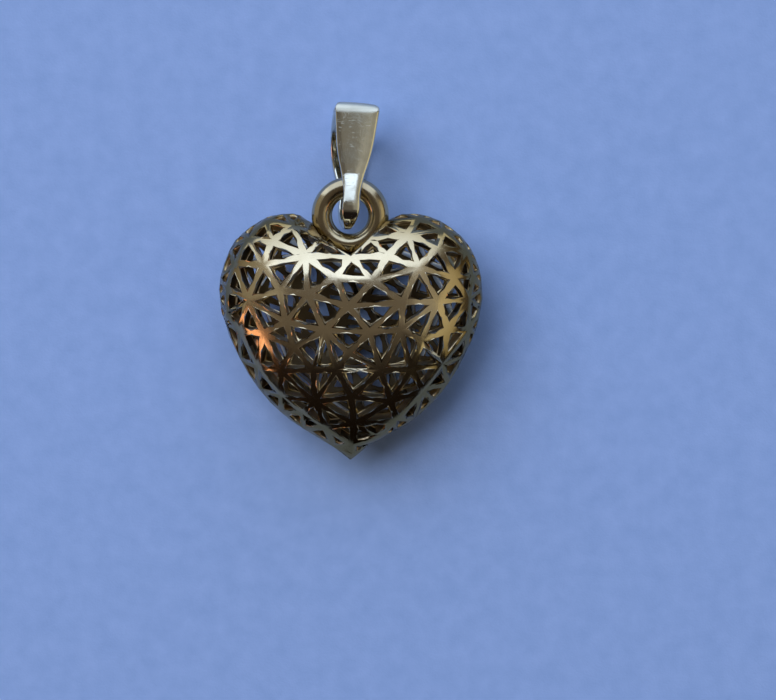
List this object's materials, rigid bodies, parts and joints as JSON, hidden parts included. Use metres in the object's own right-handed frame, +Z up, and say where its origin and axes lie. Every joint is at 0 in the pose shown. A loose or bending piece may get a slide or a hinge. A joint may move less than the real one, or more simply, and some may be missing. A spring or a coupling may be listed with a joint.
{
  "type": "openwork heart pendant",
  "caption": "Puffed openwork heart pendant in yellow gold, with a ring soldered in its cleft and a loose tapered bail for a chain.",
  "frame": {"origin": "middle of the bounding box at the surface that the pendant lies on", "axes": "+X across the heart, +Y from its tip to the bail, +Z up, out of the front dome"},
  "size_m": [0.0178, 0.0242, 0.0075],
  "materials": {
    "heart_gold": "polished",
    "ring_gold": "polished",
    "bail_gold": "polished"
  },
  "bodies": {
    "heart_body": {"openwork_heart": "heart_gold", "top_ring": "ring_gold"},
    "bail_body": {"bail": "bail_gold"}
  },
  "joints": [
    {"name": "bail_swing", "type": "hinge", "parent": "heart_body", "child": "bail_body", "pos_m": [0, 0.00638, 0.00373], "axis": [1, 0, 0], "range_deg": [-40, 90]}
  ]
}
